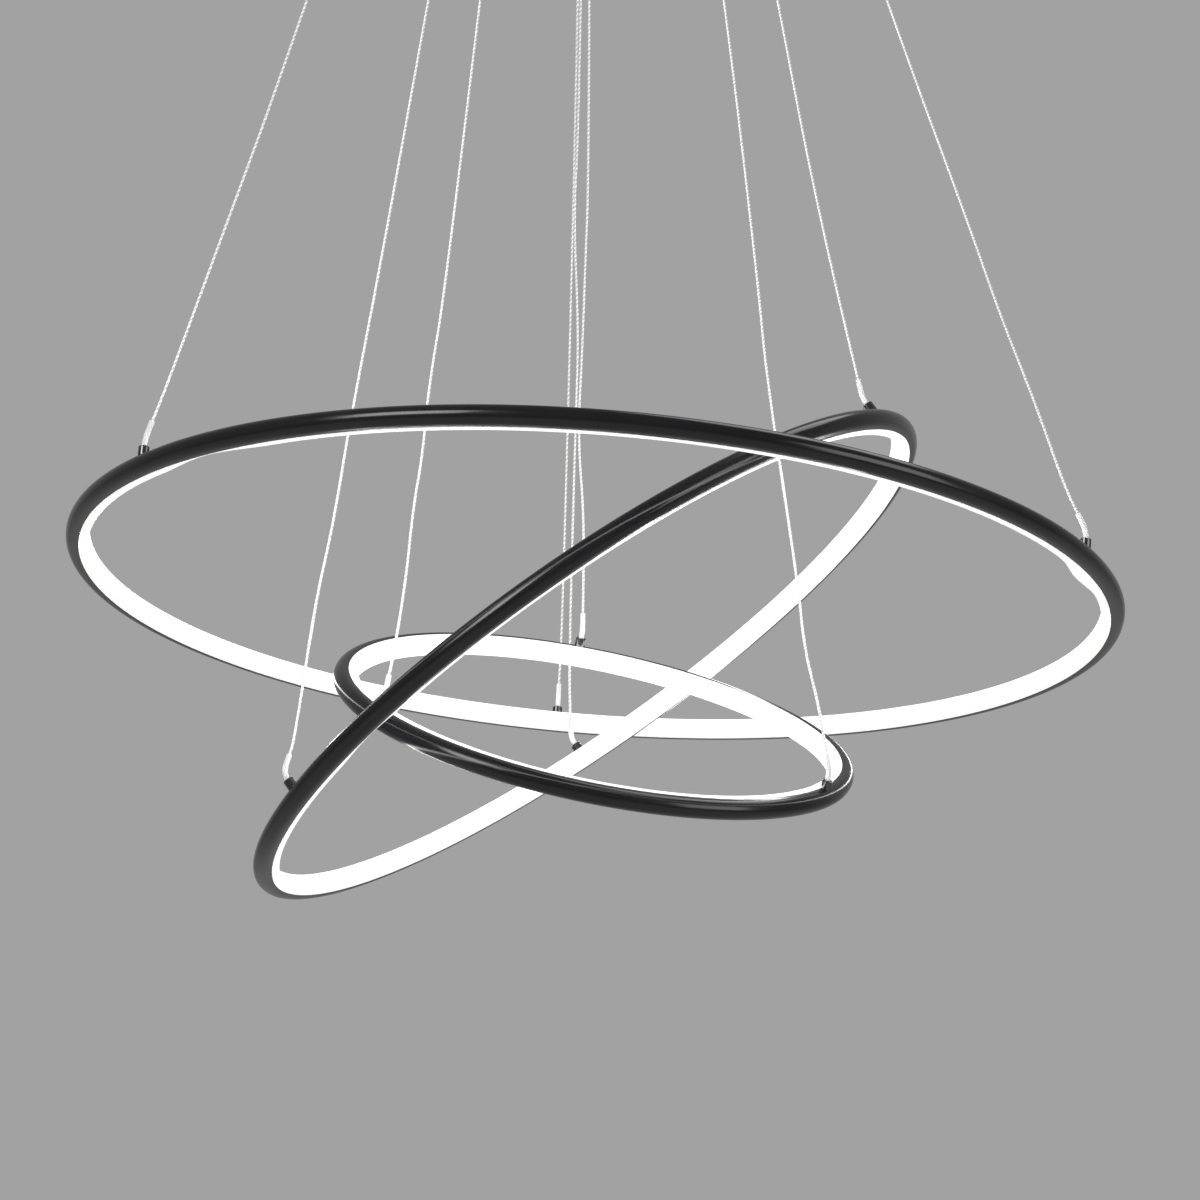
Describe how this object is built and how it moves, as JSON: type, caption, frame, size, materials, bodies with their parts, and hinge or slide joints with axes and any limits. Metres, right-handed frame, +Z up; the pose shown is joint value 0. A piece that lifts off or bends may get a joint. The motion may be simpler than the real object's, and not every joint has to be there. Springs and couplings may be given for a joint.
{
  "type": "ring chandelier",
  "caption": "Ring chandelier: slim lit hoops with inward opal diffusers, tilted different ways and hung by thin wires from a round ceiling canopy with push-to-release grippers.",
  "frame": {"origin": "centre of the ceiling bracket's upper face, between its two slots, on the ceiling", "axes": "+Z up into the ceiling, +X to the right in the picture, +Y away from the camera"},
  "size_m": [0.7977, 0.789, 1.2513],
  "materials": {
    "satin_black": "satin black paint on aluminium",
    "canopy_paint": "satin black",
    "opal_silicone": "lit opal silicone",
    "strip_white": "light strip",
    "wire_strand": "strand in a thin clear jacket",
    "clear_tube": "clear heat-shrunk tube",
    "nickel": "nickel plate",
    "zinc_steel": "zinc plate",
    "driver_case": "moulded white"
  },
  "bodies": {
    "canopy": {"ceiling_bracket": "zinc_steel", "canopy_cup": "canopy_paint", "canopy_screws": "nickel", "led_driver": "driver_case", "driver_screws": "zinc_steel", "terminal_block": "driver_case", "gripper_collars": "nickel", "gripper_nuts": "nickel"},
    "small_left_release_nipple": {"small_left_release_nipple": "nickel"},
    "small_right_release_nipple": {"small_right_release_nipple": "nickel"},
    "small_back_release_nipple": {"small_back_release_nipple": "nickel"},
    "medium_left_release_nipple": {"medium_left_release_nipple": "nickel"},
    "medium_right_release_nipple": {"medium_right_release_nipple": "nickel"},
    "medium_back_release_nipple": {"medium_back_release_nipple": "nickel"},
    "large_left_release_nipple": {"large_left_release_nipple": "nickel"},
    "large_right_release_nipple": {"large_right_release_nipple": "nickel"},
    "large_back_release_nipple": {"large_back_release_nipple": "nickel"},
    "small_hanger": {"small_wire_left": "wire_strand", "small_wire_right": "wire_strand", "small_wire_back": "wire_strand"},
    "small_ring": {"small_ring_band": "satin_black", "small_led_strip": "strip_white", "small_ring_diffuser": "opal_silicone", "small_wire_anchors": "satin_black", "small_wire_ferrules": "nickel", "small_wire_sleeves": "clear_tube"},
    "medium_hanger": {"medium_wire_left": "wire_strand", "medium_wire_right": "wire_strand", "medium_wire_back": "wire_strand"},
    "medium_ring": {"medium_ring_band": "satin_black", "medium_led_strip": "strip_white", "medium_ring_diffuser": "opal_silicone", "medium_wire_anchors": "satin_black", "medium_wire_ferrules": "nickel", "medium_wire_sleeves": "clear_tube"},
    "large_hanger": {"large_wire_left": "wire_strand", "large_wire_right": "wire_strand", "large_wire_back": "wire_strand"},
    "large_ring": {"large_ring_band": "satin_black", "large_led_strip": "strip_white", "large_ring_diffuser": "opal_silicone", "large_wire_anchors": "satin_black", "large_wire_ferrules": "nickel", "large_wire_sleeves": "clear_tube"}
  },
  "joints": [
    {"name": "small_left_release", "type": "slide", "parent": "canopy", "child": "small_left_release_nipple", "axis": [0, 0, 1], "range_m": [0, 0.002], "stiffness_N_per_m": 400, "springref_m": -0.003},
    {"name": "small_right_release", "type": "slide", "parent": "canopy", "child": "small_right_release_nipple", "axis": [0, 0, 1], "range_m": [0, 0.002], "stiffness_N_per_m": 400, "springref_m": -0.003},
    {"name": "small_back_release", "type": "slide", "parent": "canopy", "child": "small_back_release_nipple", "axis": [0, 0, 1], "range_m": [0, 0.002], "stiffness_N_per_m": 400, "springref_m": -0.003},
    {"name": "medium_left_release", "type": "slide", "parent": "canopy", "child": "medium_left_release_nipple", "axis": [0, 0, 1], "range_m": [0, 0.002], "stiffness_N_per_m": 400, "springref_m": -0.003},
    {"name": "medium_right_release", "type": "slide", "parent": "canopy", "child": "medium_right_release_nipple", "axis": [0, 0, 1], "range_m": [0, 0.002], "stiffness_N_per_m": 400, "springref_m": -0.003},
    {"name": "medium_back_release", "type": "slide", "parent": "canopy", "child": "medium_back_release_nipple", "axis": [0, 0, 1], "range_m": [0, 0.002], "stiffness_N_per_m": 400, "springref_m": -0.003},
    {"name": "large_left_release", "type": "slide", "parent": "canopy", "child": "large_left_release_nipple", "axis": [0, 0, 1], "range_m": [0, 0.002], "stiffness_N_per_m": 400, "springref_m": -0.003},
    {"name": "large_right_release", "type": "slide", "parent": "canopy", "child": "large_right_release_nipple", "axis": [0, 0, 1], "range_m": [0, 0.002], "stiffness_N_per_m": 400, "springref_m": -0.003},
    {"name": "large_back_release", "type": "slide", "parent": "canopy", "child": "large_back_release_nipple", "axis": [0, 0, 1], "range_m": [0, 0.002], "stiffness_N_per_m": 400, "springref_m": -0.003},
    {"name": "small_swing", "type": "hinge", "parent": "canopy", "child": "small_hanger", "pos_m": [0, 0, -0.0585], "axis": [0, 1, 0], "range_deg": [-1.5, 1.5]},
    {"name": "small_height", "type": "slide", "parent": "small_hanger", "child": "small_ring", "axis": [0, 0, 1], "range_m": [0, 0.1], "deforming": ["small_wire_left", "small_wire_right", "small_wire_back"]},
    {"name": "medium_swing", "type": "hinge", "parent": "canopy", "child": "medium_hanger", "pos_m": [0, 0, -0.0585], "axis": [0, 1, 0], "range_deg": [-1.5, 1.5]},
    {"name": "medium_height", "type": "slide", "parent": "medium_hanger", "child": "medium_ring", "axis": [0, 0, 1], "range_m": [0, 0.06], "deforming": ["medium_wire_left", "medium_wire_right", "medium_wire_back"]},
    {"name": "large_swing", "type": "hinge", "parent": "canopy", "child": "large_hanger", "pos_m": [0, 0, -0.0585], "axis": [0, 1, 0], "range_deg": [-1.5, 1.5]},
    {"name": "large_height", "type": "slide", "parent": "large_hanger", "child": "large_ring", "axis": [0, 0, 1], "range_m": [0, 0.2], "deforming": ["large_wire_left", "large_wire_right", "large_wire_back"]}
  ]
}
